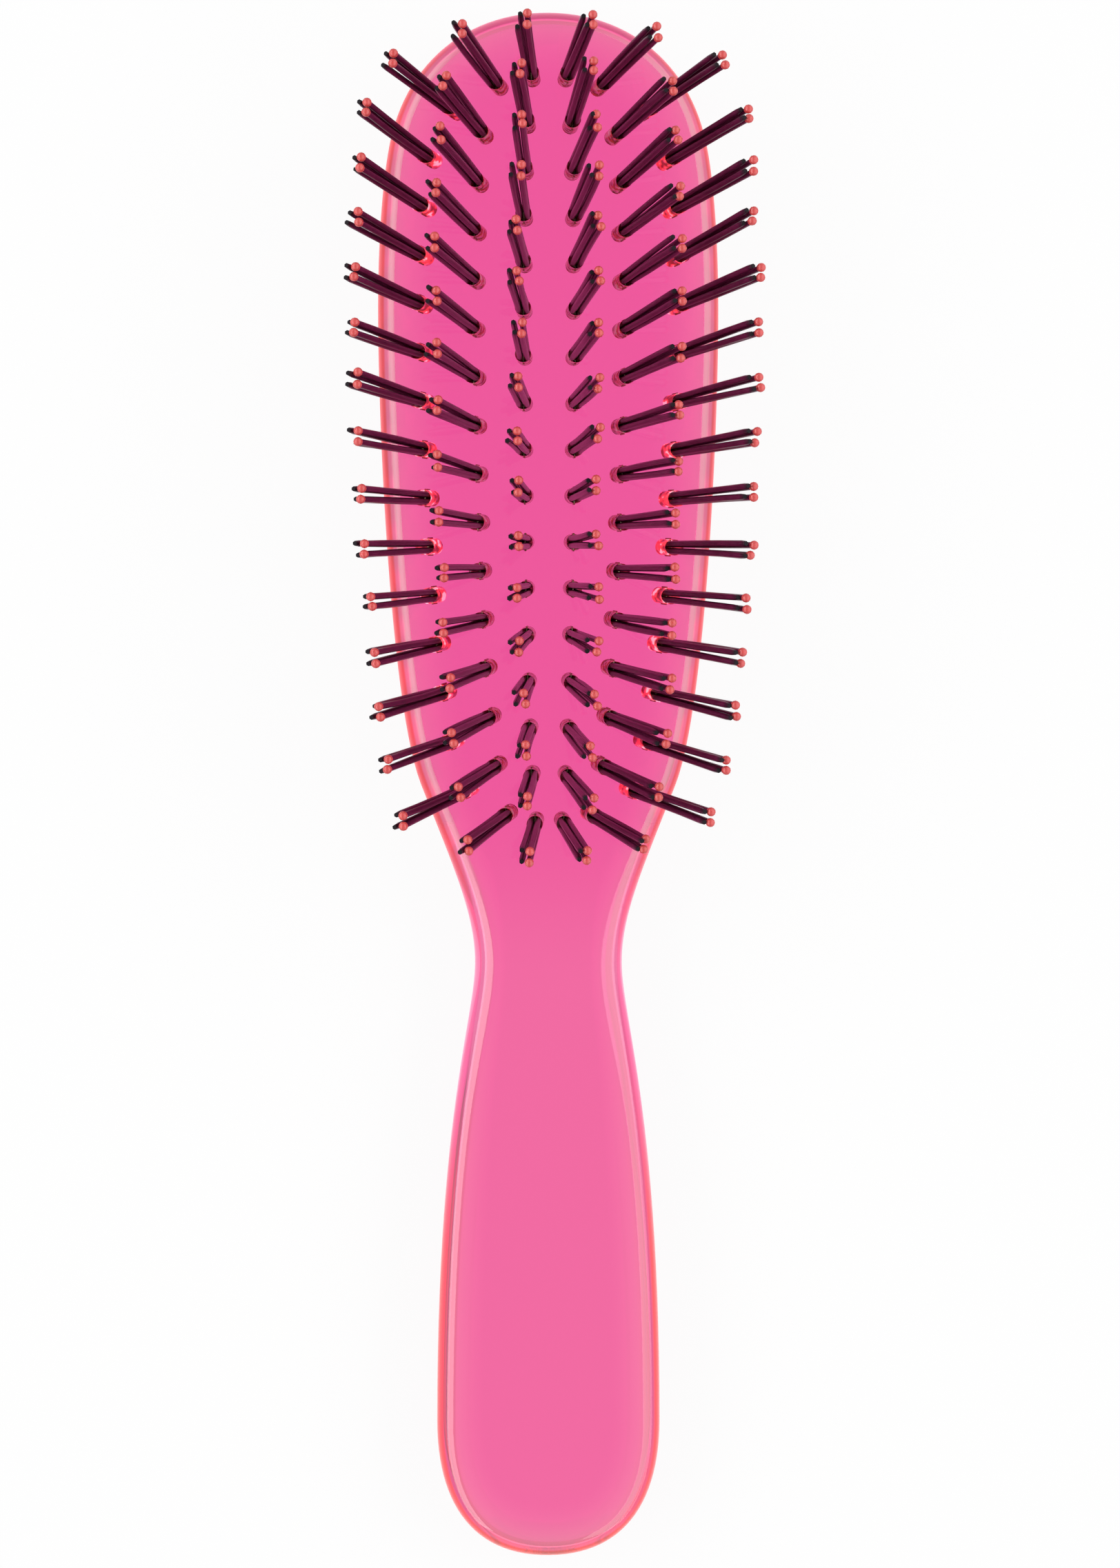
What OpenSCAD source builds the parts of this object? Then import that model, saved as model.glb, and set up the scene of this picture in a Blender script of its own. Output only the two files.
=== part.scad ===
// Narrow styling brush. A one-piece moulded body carries six columns of blind holes, which fan
// out across and along the head. Each hole holds a tuft: two strands folded over a flat anchor,
// so that every tuft shows two bare ends on its left and two ball tips on its right.
// The brush lies on its back: +Z is up out of the bristle face, +Y points along the head, and the
// origin is in the middle of the length, on the back. All sizes are in millimetres.

/* [Body] */
// Length from the top of the head to the end of the handle
brush_length = 220; // [200:1:240]
// Half of the greatest width of the head
head_half_width = 24.3; // [23:0.1:27]
// Half of the least width, at the neck
neck_half_width = 10.5; // [9:0.1:13]
// Half of the greatest width of the handle
handle_half_width = 15.9; // [14:0.1:18]
// Thickness from the back to the bristle face
thickness = 10; // [9.5:0.1:12]
// Height of the widest line of the edge above the back
edge_height = 6; // [5:0.1:7]
// How far the front edge rounds in around the head
head_front_round = 2.7; // [1.5:0.1:4]
// How far the front edge rounds in around the neck
neck_front_round = 3.7; // [2:0.1:5]
// How far the front edge rounds in around the handle
handle_front_round = 3; // [2:0.1:5]
// Share of the half width that the rounded edge of the back takes
back_round_share = 0.57; // [0.3:0.01:0.6]

/* [Tuft layout] */
// Tufts in each column: centre, inner, outer
tuft_count = [17, 16, 15]; // [8:1:17]
// Top of the head to the first tuft of each column: centre, inner, outer
first_tuft = [9.1, 10.4, 14]; // [8:0.1:20]
// Top of the head to the last tuft of each column: centre, inner, outer
last_tuft = [115.7, 114.6, 111.1]; // [100:0.1:118]
// Share of the usable half width at which each column runs: centre, inner, outer
column_share = [0.2, 0.585, 1]; // [0.15:0.005:1]
// Bare margin between an outer column and the edge of the body
edge_margin = 5.3; // [5:0.1:7]
// How far the first tuft of each column stands nearer the middle: centre, inner, outer
first_draw_in = [0, 0.4, 1.5]; // [0:0.1:2]
// Lean of each column away from the middle, in degrees: centre, inner, outer
column_lean = [6, 19, 30]; // [4:0.5:33]
// Greatest lean towards the two ends of the head, in degrees
end_lean = 14; // [8:0.5:16]
// Top of the head to the tufts that stand upright along the head
fan_middle = 66.5; // [60:0.5:75]
// Distance along the head over which the lean grows from none to its greatest
fan_reach = 70; // [60:1:100]

/* [Tufts] */
// Diameter of a tuft's hole
hole_d = 2.3; // [2.3:0.05:2.6]
// Depth of a tuft's hole along its own axis
hole_depth = 3.2; // [3:0.1:4.5]
// Length of a tuft from the bristle face to the middle of its ball tips
tuft_height = 18; // [14:0.5:24]
// How much shorter than that the bare ends are
bare_end_drop = 0.1; // [0:0.1:2]
// Width of a strand across its flats
strand_w = 0.68; // [0.5:0.01:0.68]
// Gap between the two strands at the fold
strand_gap = 0.03; // [0.02:0.01:0.05]
// Offset of a strand's end from the tuft's axis, across and along the brush
tip_spread = [0.55, 0.7]; // [0.5:0.05:0.8]
// Diameter of a ball tip
ball_d = 1.3; // [1.1:0.05:1.35]
// Thickness, width and height of an anchor
anchor_size = [0.25, 2.6, 1.3]; // [0.2:0.05:3]

/* [Hidden] */
$fn = 48;
HALF_LENGTH = brush_length / 2;
SIDES = ["left", "right"];
COLUMNS = ["centre", "inner", "outer"];
KINDS = ["toe_strands", "heel_strands", "anchors", "ball_tips"];

// Direction signs: the side of the brush, and the strand nearer the toe or the heel of a tuft
SIDE_SIGN = [-1, 1];
TOE = 1;
HEEL = -1;

// The outline's right side, from the top of the head to the end of the handle. Each station is
// [half width, y, heading in degrees off straight down, arm before it, arm after it].
HEAD_CORNER = [0.93 * head_half_width, HALF_LENGTH - 18.6];
WIDEST_Y = HALF_LENGTH - 42.3;
SHOULDER_Y = HALF_LENGTH - 110;
SHOULDER_HALF_WIDTH = neck_half_width + 0.558 * (head_half_width - neck_half_width);
NECK_Y = HALF_LENGTH - 135.4;
HANDLE_WIDEST_Y = 19.3 - HALF_LENGTH;
STATIONS = [
    [0, HALF_LENGTH, 90, 0, 11.8],
    [HEAD_CORNER.x, HEAD_CORNER.y, 11.6, 11.4, 6],
    [head_half_width, WIDEST_Y, 0, 8.4, 17.5],
    [SHOULDER_HALF_WIDTH, SHOULDER_Y, -21.3, 11.7, 12.3],
    [neck_half_width, NECK_Y, 0, 7, 8],
    [handle_half_width, HANDLE_WIDEST_Y, 0, 44, 12.3],
    [0, -HALF_LENGTH, -90, 10.5, 0],
];
STEPS = [12, 5, 12, 6, 13, 12];
QUARTER_TURN = 90;

// The edge is two quarter ellipses, run a little past the faces so that flat cuts finish them
BACK_CUT = 0.25;
FRONT_CUT = 0.03;
EDGE_STEPS = 6;

// Inside a tuft
ANCHOR_PLAY = 0.01;
root_offset = [
    anchor_size.x / 2 + ANCHOR_PLAY + strand_w / 2,
    (strand_w + strand_gap) / 2,
];
BALL_GRIP = 0.2;
SOCKET_PLAY = 0.02;
MOUTH_RUNOUT = 3;

function heading(angle) = [sin(angle), -cos(angle)];

function bezier(a, b, c, d, t) =
    pow(1 - t, 3) * a + 3 * pow(1 - t, 2) * t * b + 3 * (1 - t) * t * t * c + pow(t, 3) * d;

function station_point(s) = [s[0], s[1]];

function stretch(from, to, steps) =
    let (a = station_point(from), d = station_point(to))
    [
        for (k = [0:steps - 1])
            bezier(a, a + from[4] * heading(from[2]), d - to[3] * heading(to[2]), d, k / steps)
    ];

RIGHT_SIDE = concat(
    [for (s = [0:len(STEPS) - 1]) each stretch(STATIONS[s], STATIONS[s + 1], STEPS[s])],
    [[0, -HALF_LENGTH]]
);
LAST = len(RIGHT_SIDE) - 1;
OUTLINE = concat(RIGHT_SIDE, [for (i = [LAST - 1:-1:1]) [-RIGHT_SIDE[i].x, RIGHT_SIDE[i].y]]);
AROUND = len(OUTLINE);

WIDTH_TABLE = [for (p = RIGHT_SIDE) [p.y, p.x]];
function half_width(y) = lookup(y, WIDTH_TABLE);

// Rounding depends on the width of the head, neck or handle, and stays full around both ends
function back_round(y) = back_round_share * half_width(min(max(y, HANDLE_WIDEST_Y), WIDEST_Y));
function front_round(y) =
    lookup(
        y,
        [
            [NECK_Y - 25, handle_front_round],
            [NECK_Y - 5, neck_front_round],
            [SHOULDER_Y, head_front_round],
        ]
    );

function inward(i) =
    let (
        step = OUTLINE[(i + 1) % AROUND] - OUTLINE[(i + AROUND - 1) % AROUND],
        side = [step.y, -step.x]
    )
    side / norm(side);

// One ring of the body's skin: angle runs from -90 at the back, through 0 at the edge, to 90
function skin_ring(angle) =
    let (
        rise = angle < 0 ? edge_height + BACK_CUT : thickness - edge_height + FRONT_CUT,
        z = edge_height + rise * sin(angle)
    )
    [
        for (i = [0:AROUND - 1])
            let (
                y = OUTLINE[i].y,
                inset = (angle < 0 ? back_round(y) : front_round(y)) * (1 - cos(angle)),
                p = OUTLINE[i] + inset * inward(i)
            )
            [p.x, p.y, z]
    ];

// Triangles across a ring, laid as a ladder between the right side and its mirror image
function ladder(base) =
    [
        for (i = [0:LAST - 1])
            let (a = i, b = i + 1, c = AROUND - i - 1, d = (AROUND - i) % AROUND)
            each concat(
                i < LAST - 1 ? [[base + a, base + b, base + c]] : [],
                i == LAST - 1 ? [[base + a, base + b, base + d]] : [],
                i > 0 && i < LAST - 1 ? [[base + a, base + c, base + d]] : []
            )
    ];

function flipped(faces) = [for (f = faces) [f[2], f[1], f[0]]];

function band(lower, upper, count) =
    [
        for (i = [0:count - 1])
            let (j = (i + 1) % count)
            each [[lower + i, lower + j, upper + j], [lower + i, upper + j, upper + i]]
    ];

SKIN_ANGLES = [for (k = [-EDGE_STEPS:EDGE_STEPS]) k * QUARTER_TURN / EDGE_STEPS];
TOP_RING = (len(SKIN_ANGLES) - 1) * AROUND;

module body_blank() {
    points = [for (angle = SKIN_ANGLES) each skin_ring(angle)];
    bands = [for (k = [0:len(SKIN_ANGLES) - 2]) each band(k * AROUND, (k + 1) * AROUND, AROUND)];
    slab = [4 * head_half_width, 2 * brush_length, thickness];
    intersection() {
        polyhedron(points, concat(flipped(ladder(0)), bands, ladder(TOP_RING)));
        translate([-slab.x / 2, -slab.y / 2, 0]) cube(slab);
    }
}

// Tufts of a column as [x, y] of their mouths on the bristle face, and their lean across it
function tufts(column, side) =
    [
        for (i = [0:tuft_count[column] - 1])
            let (
                along = (last_tuft[column] - first_tuft[column]) / (tuft_count[column] - 1),
                y = HALF_LENGTH - first_tuft[column] - i * along,
                draw_in = i == 0 ? first_draw_in[column] : 0,
                x = column_share[column] * (half_width(y) - edge_margin) - draw_in
            )
            [SIDE_SIGN[side] * x, y, SIDE_SIGN[side] * column_lean[column]]
    ];

function lean_across(tuft) = tuft[2];
function lean_along(tuft) =
    end_lean * sin(QUARTER_TURN * (tuft.y - HALF_LENGTH + fan_middle) / fan_reach);

// From a tuft's own frame, with its axis along z and its mouth at the origin, to the brush's
function placed(p, tuft) =
    let (
        a = lean_across(tuft),
        b = lean_along(tuft),
        y = p.y * cos(b) + p.z * sin(b),
        z = p.z * cos(b) - p.y * sin(b)
    )
    [tuft.x + p.x * cos(a) + z * sin(a), tuft.y + y, thickness + z * cos(a) - p.x * sin(a)];

module at_tuft(tuft) {
    translate([tuft.x, tuft.y, thickness])
        rotate([-lean_along(tuft), lean_across(tuft), 0])
            children();
}

module anchor() {
    translate([0, 0, strand_w + anchor_size.z / 2 - hole_depth])
        cube(anchor_size, center = true);
}

module tuft_hole() {
    translate([0, 0, -hole_depth])
        cylinder(d = hole_d, h = hole_depth + MOUTH_RUNOUT);
}

module body() {
    color([0.95, 0.36, 0.64])
        difference() {
            body_blank();
            for (side = [0, 1], column = [0:2], tuft = tufts(column, side))
                at_tuft(tuft) tuft_hole();
            for (side = [0, 1], column = [0:2], tuft = tufts(column, side))
                at_tuft(tuft) anchor();
        }
}

// Four corners of a strand's cut, from the outside of the fold to its inside, and across it
function strand_cut(outside, inside, y) =
    [
        [outside.x, y + strand_w / 2, outside.y],
        [outside.x, y - strand_w / 2, outside.y],
        [inside.x, y - strand_w / 2, inside.y],
        [inside.x, y + strand_w / 2, inside.y],
    ];

// A folded strand: its bare end, the two mitred corners of the fold, and the end in the ball tip
function strand_points(end) =
    let (
        half = strand_w / 2,
        x = root_offset.x,
        floor = -hole_depth,
        bare = tuft_height - bare_end_drop,
        tipped = tuft_height + BALL_GRIP,
        tip = tip_spread.x,
        root_y = end * root_offset.y,
        tip_y = end * tip_spread.y
    )
    concat(
        strand_cut([-tip - half, bare], [-tip + half, bare], tip_y),
        strand_cut([-x - half, floor], [-x + half, floor + strand_w], root_y),
        strand_cut([x + half, floor], [x - half, floor + strand_w], root_y),
        strand_cut([tip + half, tipped], [tip - half, tipped], tip_y)
    );

STRAND_POINTS = len(strand_points(TOE));
function strand_faces(base) =
    concat(
        [[base + 2, base + 1, base], [base + 3, base + 2, base]],
        [for (k = [0:4:STRAND_POINTS - 8]) each band(base + k, base + k + 4, 4)],
        [for (f = [[0, 1, 2], [0, 2, 3]]) f + (base + STRAND_POINTS - 4) * [1, 1, 1]]
    );

module strands(column, side, end) {
    own = strand_points(end);
    places = tufts(column, side);
    color([0.45, 0.16, 0.32])
        polyhedron(
            [for (tuft = places, p = own) placed(p, tuft)],
            [for (i = [0:len(places) - 1]) each strand_faces(i * STRAND_POINTS)]
        );
}

module ball_tip() {
    socket = strand_w + 2 * SOCKET_PLAY;
    difference() {
        sphere(d = ball_d);
        translate([-socket / 2, -socket / 2, BALL_GRIP - ball_d])
            cube([socket, socket, ball_d]);
    }
}

module ball_tips(column, side) {
    color([0.92, 0.45, 0.35])
        for (tuft = tufts(column, side), end = [TOE, HEEL])
            at_tuft(tuft)
                translate([tip_spread.x, end * tip_spread.y, tuft_height])
                    ball_tip();
}

module anchors(column, side) {
    color([0.80, 0.72, 0.52])
        for (tuft = tufts(column, side))
            at_tuft(tuft) anchor();
}

body();
for (s = [0:1], c = [0:2]) {
    name = str(SIDES[s], "_", COLUMNS[c], "_");
    strands(c, s, TOE);
    strands(c, s, HEEL);
    anchors(c, s);
    ball_tips(c, s);
}
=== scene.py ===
"""Dresses a narrow styling brush: a solid translucent body and six fanned columns of tufts.

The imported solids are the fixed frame. Each piece below stands for one or more of them and sits
where they sit: +Y runs along the head, +Z up out of the bristle face, and the origin lies under
the middle of the length, on the back. Sizes are given in millimetres, and meshes are in metres.
"""

import logging
import math
import random
from abc import ABC, abstractmethod
from bisect import bisect_left
from collections.abc import Iterator, Sequence
from contextlib import contextmanager
from dataclasses import dataclass, field
from enum import Enum
from functools import cache
from itertools import product

import bmesh
import bpy
from mathutils import Euler, Matrix, Vector
from mathutils.geometry import interpolate_bezier


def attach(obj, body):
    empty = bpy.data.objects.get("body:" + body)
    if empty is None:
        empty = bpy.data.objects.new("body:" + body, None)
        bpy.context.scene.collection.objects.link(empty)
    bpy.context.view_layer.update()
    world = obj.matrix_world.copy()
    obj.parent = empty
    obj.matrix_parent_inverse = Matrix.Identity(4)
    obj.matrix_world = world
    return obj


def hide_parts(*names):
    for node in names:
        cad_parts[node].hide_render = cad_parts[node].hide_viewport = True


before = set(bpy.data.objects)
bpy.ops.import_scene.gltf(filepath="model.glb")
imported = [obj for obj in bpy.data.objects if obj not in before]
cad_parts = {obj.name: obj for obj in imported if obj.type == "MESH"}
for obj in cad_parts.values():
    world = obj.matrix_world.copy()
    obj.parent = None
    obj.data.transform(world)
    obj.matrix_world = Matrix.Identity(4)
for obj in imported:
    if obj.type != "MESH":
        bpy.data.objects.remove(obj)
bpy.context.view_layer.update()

Colour = tuple[float, float, float]
Span = tuple[float, float]
Stops = tuple[tuple[float, Colour], ...]
Piece = bpy.types.Object
Node = bpy.types.Node
Socket = bpy.types.NodeSocket

LOG = logging.getLogger("styling_brush")
MM = 0.001
ROOT_BODY = "root"
WHITE: Colour = (1.0, 1.0, 1.0)
BLACK: Colour = (0.0, 0.0, 0.0)

# The least upright part of the normal of a face that counts as level.
LEVEL = 0.9999

# Where a Mix node keeps its sockets for colours, which share their names with other sockets.
MIX_SHARE, MIX_FIRST, MIX_SECOND, MIX_RESULT = 0, 6, 7, 2


class Side(Enum):
    """A half of the brush, as the sign of its X."""

    LEFT = -1
    RIGHT = 1


class Column(Enum):
    """A column of tufts, counted out from the middle of the head."""

    CENTRE = 0
    INNER = 1
    OUTER = 2


class StrandPlace(Enum):
    """One of the two strands of a tuft, as the sign of its Y inside the tuft."""

    TOE = 1
    HEEL = -1


class Axis(Enum):
    """A direction of the brush, as its coordinate."""

    ALONG = "Y"
    UP = "Z"


class Mark(Enum):
    """A number that a mesh carries at its points or faces, as the name of its attribute."""

    STATION = "station"
    NEAR_RIM = "edge_glow"
    AT_END = "edge_end"
    DRILLED = "drilled"
    CAUGHT = "caught_light"
    CUT = "cut_end"


class LampRole(Enum):
    """What a lamp does: it lights the surfaces, or it only shows in glossy ones."""

    FILL = "fill"
    CARD = "card"


class RayKind(Enum):
    """A kind of ray that has to see a backdrop as plain white."""

    CAMERA = "Is Camera Ray"
    GLOSSY = "Is Glossy Ray"
    TRANSMISSION = "Is Transmission Ray"


def mm(x: float, y: float, z: float) -> Vector:
    """Gives a point that is written in millimetres, in metres."""
    return Vector((x, y, z)) * MM


def in_metres(span: Span) -> Span:
    """Gives a span that is written in millimetres, in metres."""
    return span[0] * MM, span[1] * MM


def blend_between(span: Span, value: float) -> float:
    """Rises smoothly from 0 to 1 while a value passes along a span.

    Args:
        span: Where the rise starts and ends. It may run downwards.
        value: The value to place on it.

    Returns:
        A share from 0 to 1.
    """
    low, high = span
    share = min(max((value - low) / (high - low), 0.0), 1.0)
    return share * share * (3.0 - 2.0 * share)


def clear_selection() -> None:
    """Deselects every object, because an operator acts on all that is selected."""
    bpy.ops.object.select_all(action="DESELECT")


def take_up(*objects: Piece) -> None:
    """Selects only some objects and makes the first of them active.

    Args:
        *objects: The objects.
    """
    clear_selection()
    for held in objects:
        held.select_set(True)
    bpy.context.view_layer.objects.active = objects[0]


@contextmanager
def editing(piece: Piece) -> Iterator[None]:
    """Holds a piece in edit mode while a block runs.

    Args:
        piece: The piece.

    Yields:
        Nothing.
    """
    take_up(piece)
    bpy.ops.object.mode_set(mode="EDIT")
    yield
    bpy.ops.object.mode_set(mode="OBJECT")


def fresh_primitive(name: str) -> Piece:
    """Names the primitive that was just added, and its mesh or curve.

    Args:
        name: The name that it gets.

    Returns:
        The active object.
    """
    made = bpy.context.object
    made.name = name
    made.data.name = name
    return made


def copied(master: Piece, name: str) -> Piece:
    """Copies an object together with its mesh.

    Args:
        master: The object that was modelled once.
        name: The name of the copy.

    Returns:
        The copy, linked to the scene.
    """
    twin = master.copy()
    twin.data = master.data.copy()
    twin.name = name
    bpy.context.collection.objects.link(twin)
    return twin


def joined(parts: Sequence[Piece], name: str) -> Piece:
    """Joins objects into one.

    Args:
        parts: The objects, which are used up.
        name: The name of the joined object and its mesh.

    Returns:
        The joined object.
    """
    take_up(*parts)
    bpy.ops.object.join()
    return fresh_primitive(name)


def discard(spent: Piece) -> None:
    """Removes a master or a cutter that has done its work, with its mesh.

    Args:
        spent: The object.
    """
    mesh = spent.data
    bpy.data.objects.remove(spent)
    bpy.data.meshes.remove(mesh)


def face_outwards(piece: Piece) -> None:
    """Turns the faces of closed shells outwards.

    Args:
        piece: The piece that the shells make up.
    """
    with editing(piece):
        bpy.ops.mesh.select_all(action="SELECT")
        bpy.ops.mesh.normals_make_consistent(inside=False)


def shade_smooth(piece: Piece, angle: float) -> None:
    """Shades a piece smoothly, apart from edges that are sharper than an angle in degrees."""
    take_up(piece)
    bpy.ops.object.shade_smooth_by_angle(angle=math.radians(angle))


def fit_to_frame(piece: Piece, nodes: Sequence[str]) -> None:
    """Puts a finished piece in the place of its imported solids.

    Args:
        piece: The piece, with its place in its mesh.
        nodes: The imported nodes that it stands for.
    """
    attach(piece, ROOT_BODY)
    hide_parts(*nodes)
    LOG.info("%s: %d faces, stands for %s", piece.name, len(piece.data.polygons), ", ".join(nodes))


class NodeBoard:
    """The node tree of one new material, with short ways to add and join nodes."""

    def __init__(self, name: str) -> None:
        """Starts a material that holds only its output.

        Args:
            name: The name of the material.
        """
        self.material = bpy.data.materials.new(name)
        self.material.use_nodes = True
        self.tree = self.material.node_tree
        self.tree.nodes.clear()
        self.output = self.add("ShaderNodeOutputMaterial")

    def add(self, kind: str, **settings: object) -> Node:
        """Adds a node.

        Args:
            kind: Blender's name for the node's type.
            **settings: Properties of the node, by name.

        Returns:
            The node.
        """
        node = self.tree.nodes.new(kind)
        for key, value in settings.items():
            setattr(node, key, value)
        return node

    def link(self, source: Socket, target: Socket) -> None:
        """Joins an output to an input."""
        self.tree.links.new(source, target)

    def put(self, colour: Colour | Socket, target: Socket) -> None:
        """Sets the colour of an input, or joins it to an output that gives one.

        Args:
            colour: The colour or the output.
            target: The input.
        """
        if isinstance(colour, Socket):
            self.link(colour, target)
        else:
            target.default_value = (*colour, 1.0)

    def principled(self, **values: float) -> Node:
        """Adds a Principled shader and joins it to the surface.

        Args:
            **values: Constant values, by socket name with underscores for spaces.

        Returns:
            The shader node.
        """
        shader = self.add("ShaderNodeBsdfPrincipled")
        for key, value in values.items():
            shader.inputs[key.replace("_", " ")].default_value = value
        self.link(shader.outputs["BSDF"], self.output.inputs["Surface"])
        return shader

    def feed(self, shader: Node, **sources: Socket) -> None:
        """Joins outputs to the inputs of a shader.

        Args:
            shader: The shader.
            **sources: The outputs, by socket name with underscores for spaces.
        """
        for key, source in sources.items():
            self.link(source, shader.inputs[key.replace("_", " ")])

    def attribute(self, mark: Mark) -> Socket:
        """Reads a number that is stored on the mesh."""
        return self.add("ShaderNodeAttribute", attribute_name=mark.value).outputs["Fac"]

    def place(self, axis: Axis) -> Socket:
        """Reads how far along an axis of the brush a point lies.

        Args:
            axis: The axis.

        Returns:
            The distance from the origin, in metres.
        """
        parts = self.add("ShaderNodeSeparateXYZ")
        self.link(self.add("ShaderNodeTexCoord").outputs["Object"], parts.inputs[0])
        return parts.outputs[axis.value]

    def noise(self, scale: float, detail: float) -> Socket:
        """Adds a noise that is fixed to the piece.

        Args:
            scale: Waves per metre, about.
            detail: Octaves of finer noise.

        Returns:
            The noise's value.
        """
        noise = self.add("ShaderNodeTexNoise")
        noise.inputs["Scale"].default_value = scale
        noise.inputs["Detail"].default_value = detail
        self.link(self.add("ShaderNodeTexCoord").outputs["Object"], noise.inputs["Vector"])
        return noise.outputs["Fac"]

    def mapped(self, value: Socket, span: Span) -> Socket:
        """Spreads a value from 0 to 1 over a span.

        Args:
            value: The socket to read.
            span: What 0 and 1 become.

        Returns:
            The spread value.
        """
        spread = self.add("ShaderNodeMapRange")
        spread.inputs["To Min"].default_value, spread.inputs["To Max"].default_value = span
        self.link(value, spread.inputs["Value"])
        return spread.outputs["Result"]

    def risen(self, value: Socket, span: Span) -> Socket:
        """Rises smoothly from 0 to 1 while a value passes along a span.

        Args:
            value: The socket to read.
            span: Where the rise starts and ends.

        Returns:
            The share from 0 to 1.
        """
        rise = self.add("ShaderNodeMapRange", interpolation_type="SMOOTHSTEP")
        rise.inputs["From Min"].default_value, rise.inputs["From Max"].default_value = span
        self.link(value, rise.inputs["Value"])
        return rise.outputs["Result"]

    def reckoned(self, operation: str, first: Socket, second: Socket) -> Socket:
        """Works one value out from two.

        Args:
            operation: Blender's name for the sum.
            first: The first value.
            second: The second value.

        Returns:
            The result.
        """
        working = self.add("ShaderNodeMath", operation=operation)
        self.link(first, working.inputs[0])
        self.link(second, working.inputs[1])
        return working.outputs[0]

    def larger(self, first: Socket, second: Socket) -> Socket:
        """Gives the larger of two values."""
        return self.reckoned("MAXIMUM", first, second)

    def times(self, first: Socket, second: Socket) -> Socket:
        """Multiplies two values."""
        return self.reckoned("MULTIPLY", first, second)

    def mixed(self, share: Socket, first: Colour | Socket, second: Colour | Socket) -> Socket:
        """Mixes two colours, each a colour or a socket that gives one.

        Args:
            share: The share of the second colour.
            first: The first colour.
            second: The second colour.

        Returns:
            The mixed colour.
        """
        mix = self.add("ShaderNodeMix", data_type="RGBA")
        self.link(share, mix.inputs[MIX_SHARE])
        self.put(first, mix.inputs[MIX_FIRST])
        self.put(second, mix.inputs[MIX_SECOND])
        return mix.outputs[MIX_RESULT]

    def tinted(self, colour: Socket, tint: Socket) -> Socket:
        """Multiplies a colour by a tint.

        Args:
            colour: The colour.
            tint: The tint, white where the colour stays as it is.

        Returns:
            The tinted colour.
        """
        mix = self.add("ShaderNodeMix", data_type="RGBA", blend_type="MULTIPLY")
        mix.inputs[MIX_SHARE].default_value = 1.0
        self.put(colour, mix.inputs[MIX_FIRST])
        self.put(tint, mix.inputs[MIX_SECOND])
        return mix.outputs[MIX_RESULT]

    def ramp(self, value: Socket, stops: Stops) -> Socket:
        """Turns a value into a colour.

        Args:
            value: The socket to read.
            stops: Places from 0 to 1 with the colour at each, in order.

        Returns:
            The colour.
        """
        ramp = self.add("ShaderNodeValToRGB")
        self.link(value, ramp.inputs[0])
        marks = ramp.color_ramp.elements
        marks[0].position, marks[1].position = stops[0][0], stops[-1][0]
        for place, _ in stops[1:-1]:
            marks.new(place)
        for mark, (_, colour) in zip(marks, stops):
            mark.color = (*colour, 1.0)
        return ramp.outputs["Color"]

    def bump(self, shader: Node, height: Socket, depth: float) -> None:
        """Gives a shader a bumpy surface.

        Args:
            shader: The shader that gets the bump.
            height: The height from 0 to 1.
            depth: How deep the bumps are, in millimetres.
        """
        bump = self.add("ShaderNodeBump")
        bump.inputs["Distance"].default_value = depth * MM
        self.link(height, bump.inputs["Height"])
        self.link(bump.outputs["Normal"], shader.inputs["Normal"])


@dataclass(frozen=True)
class BodyMasks:
    """Values from 0 to 1 that tell the places on the body's surface apart.

    in_head and in_handle rise from the neck to the head and to the lower handle, near_rim from
    the flats to the rim of the edge, and at_end from the sides to the ends. drilled is 1 in the
    holes, caught is the painted light that a hole gets, and chatter_and_glints is the marks of the
    drill, which also place the painted shade, red glow and glints in the holes.
    """

    in_head: Socket
    in_handle: Socket
    near_rim: Socket
    at_end: Socket
    drilled: Socket
    caught: Socket
    chatter_and_glints: Socket


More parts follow.
